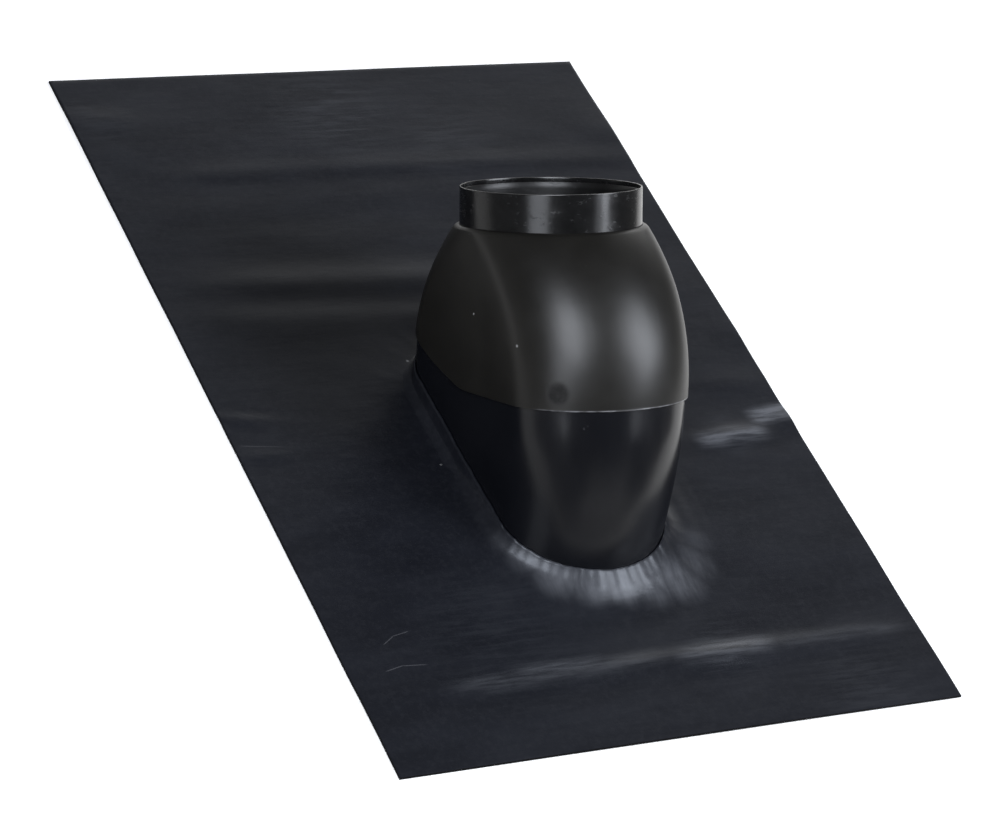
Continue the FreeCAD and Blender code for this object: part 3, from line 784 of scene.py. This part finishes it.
hood_mat, base_mat, collar_mat, sheet_mat = hood_material(), base_material(), collar_material(), sheet_material()
made = []
for build, mat, node, slot in ((make_hood, hood_mat, "hood", "hood_plastic"), (make_base, base_mat, "base_shell", "base_plastic"),
                               (make_collar, collar_mat, "pipe_collar", "collar_plastic")):
    ob = build(mat)
    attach(ob, "root")
    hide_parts(node)
    made.append(ob)
sheet_ob, _edge = make_sheet(sheet_mat)
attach(sheet_ob, "root")
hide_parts("flashing_sheet")

# ---------------------------------------------------------------- floor
fm = Mat("floor")
fm.b.inputs["Base Color"].default_value = (0.86, 0.86, 0.86, 1.0)
fm.b.inputs["Roughness"].default_value = 0.85
fm.b.inputs["Specular IOR Level"].default_value = 0.15
fm.b.inputs["Emission Color"].default_value = (1.0, 1.0, 1.0, 1.0)
fsep = fm.t.nodes.new("ShaderNodeSeparateXYZ")
fm.t.links.new(fm.co, fsep.inputs[0])
fm.put(fm.b.inputs["Emission Strength"], fm.fit(fsep.outputs[1], -0.95, -0.40, 0.15, 0.42, True))
fm.put(fm.b.inputs["Base Color"], fm.mix(fm.fit(fsep.outputs[1], -1.1, -0.5, 0.0, 1.0, True), (0.45, 0.45, 0.45), (0.86, 0.86, 0.86)))
fs = 14.0
floor = obj_from("floor", [(-fs * 1000, -fs * 1000, -0.3), (fs * 1000, -fs * 1000, -0.3), (fs * 1000, fs * 1000, -0.3), (-fs * 1000, fs * 1000, -0.3)],
                 [(0, 1, 2, 3)], fm.m, None)


# Reflections see this card in place of the floor: white close by, brightest on
# the right, and dark further off, as beyond a real table.
floor.visible_glossy = False
cm = Mat("card")
cm.b.inputs["Base Color"].default_value = (0.0, 0.0, 0.0, 1.0)
cm.b.inputs["Specular IOR Level"].default_value = 0.0
cm.b.inputs["Roughness"].default_value = 1.0
cm.b.inputs["Emission Color"].default_value = (1.0, 1.0, 1.0, 1.0)
csep = cm.t.nodes.new("ShaderNodeSeparateXYZ")
cm.t.links.new(cm.co, csep.inputs[0])
cx, cy = csep.outputs[0], csep.outputs[1]
near = cm.math("ADD", cm.fit(cx, -0.60, -0.42, 0.0, 0.50, True), cm.fit(cx, -0.05, 0.20, 0.0, 0.50, True))
near = cm.math("MULTIPLY", near, cm.fit(cx, 0.60, 0.85, 1.0, 0.0, True))
near = cm.math("MULTIPLY", near, cm.fit(cy, -0.55, -0.36, 0.10, 1.0, True))
near = cm.math("MULTIPLY", near, cm.fit(cy, 0.65, 1.00, 1.0, 0.0, True))
ahead = cm.math("DIVIDE", cx, cm.math("MAXIMUM", cm.math("MULTIPLY", cy, -1.0), 0.05))
ahead = cm.fit(cm.math("ABSOLUTE", cm.math("SUBTRACT", ahead, 0.15)), 0.25, 0.55, 0.28, 0.0, True)
ahead = cm.math("MULTIPLY", ahead, cm.fit(cy, -0.80, -0.50, 1.0, 0.0, True))
cm.put(cm.b.inputs["Emission Strength"], cm.math("ADD", cm.math("ADD", near, ahead), 0.12))
card = obj_from("card", [(-12000, -12000, -0.25), (12000, -12000, -0.25), (12000, 12000, -0.25), (-12000, 12000, -0.25)], [(0, 1, 2, 3)], cm.m, None)
card.visible_camera = card.visible_diffuse = card.visible_shadow = card.visible_transmission = card.visible_volume_scatter = False


# ---------------------------------------------------------------- light
def softbox(name, az, el, dist, width, height, radiance, target=(0.0, -0.08, 0.1)):
    """Area light at an azimuth from +Y towards +X and an elevation, facing the object."""
    a, e = math.radians(az), math.radians(el)
    t = Vector(target)
    d = Vector((math.sin(a) * math.cos(e), math.cos(a) * math.cos(e), math.sin(e)))
    li = bpy.data.lights.new(name, "AREA")
    li.shape, li.size, li.size_y = "RECTANGLE", width, height
    li.energy = radiance * math.pi * width * height
    li.color = (0.94, 0.98, 1.06)
    ob = bpy.data.objects.new(name, li)
    bpy.context.scene.collection.objects.link(ob)
    ob.location = t + d * dist
    ob.rotation_mode = "QUATERNION"
    ob.rotation_quaternion = d.to_track_quat("Z", "Y")
    ob.visible_camera = False
    return ob


softbox("softbox_left", -126.0, 53.0, 3.6, 1.85, 1.75, 8.8)
softbox("softbox_left_low", -127.0, 24.0, 3.8, 1.45, 1.6, 3.1)
softbox("softbox_right", 123.0, 41.0, 3.2, 1.55, 1.8, 8.0)
softbox("softbox_right_low", 140.0, 24.0, 3.4, 1.1, 0.9, 1.7)

world = bpy.data.worlds.new("studio")
bpy.context.scene.world = world
world.use_nodes = True
wt = world.node_tree
wt.nodes.clear()
wo = wt.nodes.new("ShaderNodeOutputWorld")
bg = wt.nodes.new("ShaderNodeBackground")
tc = wt.nodes.new("ShaderNodeTexCoord")
sep = wt.nodes.new("ShaderNodeSeparateXYZ")
wt.links.new(tc.outputs["Generated"], sep.inputs[0])


def wmath(op, a, b):
    n = wt.nodes.new("ShaderNodeMath")
    n.operation = op
    for s, v in zip(n.inputs, (a, b)):
        if hasattr(v, "is_output"):
            wt.links.new(v, s)
        else:
            s.default_value = v
    return n.outputs[0]


def wfit(v, a, b, lo, hi):
    n = wt.nodes.new("ShaderNodeMapRange")
    n.interpolation_type = "SMOOTHSTEP"
    for s, x in zip(n.inputs, (v, a, b, lo, hi)):
        if hasattr(x, "is_output"):
            wt.links.new(x, s)
        else:
            s.default_value = x
    return n.outputs[0]


# a pale backdrop stands on the ridge side: bright at its foot, fading upwards
low = wmath("POWER", wmath("MAXIMUM", wmath("SUBTRACT", 1.0, wmath("DIVIDE", wmath("ABSOLUTE", sep.outputs[2], 0.0), 0.80)), 0.0), 2.0)
flat_len = wmath("SQRT", wmath("MAXIMUM", wmath("SUBTRACT", 1.0, wmath("MULTIPLY", sep.outputs[2], sep.outputs[2])), 0.01), 0.0)
side = wmath("DIVIDE", wmath("ADD", wmath("MULTIPLY", sep.outputs[0], 0.62), wmath("MULTIPLY", sep.outputs[1], 0.785)), flat_len)
back = wfit(side, 0.89, 0.995, 0.0, 1.0)
lvl = wmath("ADD", 0.05, wmath("MULTIPLY", low, wmath("ADD", 0.06, wmath("MULTIPLY", back, 2.2))))
front = wmath("DIVIDE", wmath("SUBTRACT", wmath("MULTIPLY", sep.outputs[0], 0.17), wmath("MULTIPLY", sep.outputs[1], 0.985)), flat_len)
front = wmath("MULTIPLY", wfit(front, 0.90, 0.985, 0.0, 0.30), wfit(wmath("ABSOLUTE", sep.outputs[2], 0.0), 0.04, 0.17, 1.0, 0.0))
lvl = wmath("ADD", lvl, front)
wt.links.new(lvl, bg.inputs["Strength"])
bg.inputs["Color"].default_value = (1.0, 1.0, 1.0, 1.0)
wt.links.new(bg.outputs[0], wo.inputs[0])

# ---------------------------------------------------------------- camera
cam = bpy.data.cameras.new("camera")
cam_ob = bpy.data.objects.new("camera", cam)
bpy.context.scene.collection.objects.link(cam_ob)
cam.sensor_width = 36.0
cam.lens = 139.324
cam.clip_start, cam.clip_end = 0.05, 60.0
r = Vector((0.8532321724353886, -0.40473386576044057, 0.32891542655794814))
u = Vector((0.07863235403478383, 0.7232967412411432, 0.686045754311541))
w = Vector((0.5155694064043518, 0.5594929150727045, -0.6489652264669593))
cam_ob.matrix_world = Matrix(((r.x, u.x, -w.x, -1.513904195440563), (r.y, u.y, -w.y, -1.6656378975396338),
                              (r.z, u.z, -w.z, 1.8933839174130034), (0, 0, 0, 1)))
bpy.context.scene.camera = cam_ob
bpy.context.scene.view_settings.view_transform = "Standard"
bpy.context.scene.view_settings.look = "None"
bpy.context.scene.view_settings.exposure = 0.0

bpy.context.view_layer.update()
